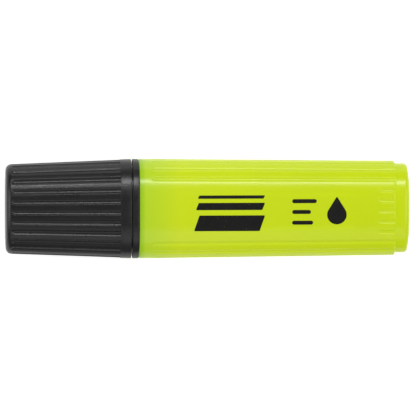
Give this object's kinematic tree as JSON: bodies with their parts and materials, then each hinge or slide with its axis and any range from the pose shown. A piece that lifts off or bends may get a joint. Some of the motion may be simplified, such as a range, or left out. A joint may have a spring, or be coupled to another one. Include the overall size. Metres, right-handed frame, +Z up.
{
  "type": "highlighter",
  "caption": "Flat-oval desk highlighter: ribbed black pull-off cap, black collar and nib holder, chisel nib, yellow barrel with grooved sides, and a yellow end plug.",
  "frame": {"origin": "middle of the underside's bounding rectangle, on the surface that the pen lies on", "axes": "+X along the pen from the cap to the end plug, +Y across its width, +Z up through its thickness"},
  "size_m": [0.112, 0.0276, 0.0171],
  "materials": {
    "cap_plastic": "fine satin texture",
    "inner_cap_plastic": "natural satin",
    "holder_plastic": "satin",
    "nib_felt": "pressed felt soaked with ink",
    "barrel_plastic": "slightly translucent, soft gloss",
    "plug_plastic": "slightly translucent, soft gloss",
    "filler_fibre": "fibre bundle soaked with ink",
    "wrap_film": "thin clear wrap"
  },
  "bodies": {
    "pen": {"barrel": "barrel_plastic", "nib_holder": "holder_plastic", "nib": "nib_felt", "end_plug": "plug_plastic", "ink_filler": "filler_fibre", "filler_film": "wrap_film"},
    "cap": {"cap_shell": "cap_plastic", "inner_cap": "inner_cap_plastic"}
  },
  "joints": [
    {"name": "cap_pull", "type": "slide", "parent": "pen", "child": "cap", "axis": [-1, 0, 0], "range_m": [0, 0.045]}
  ]
}
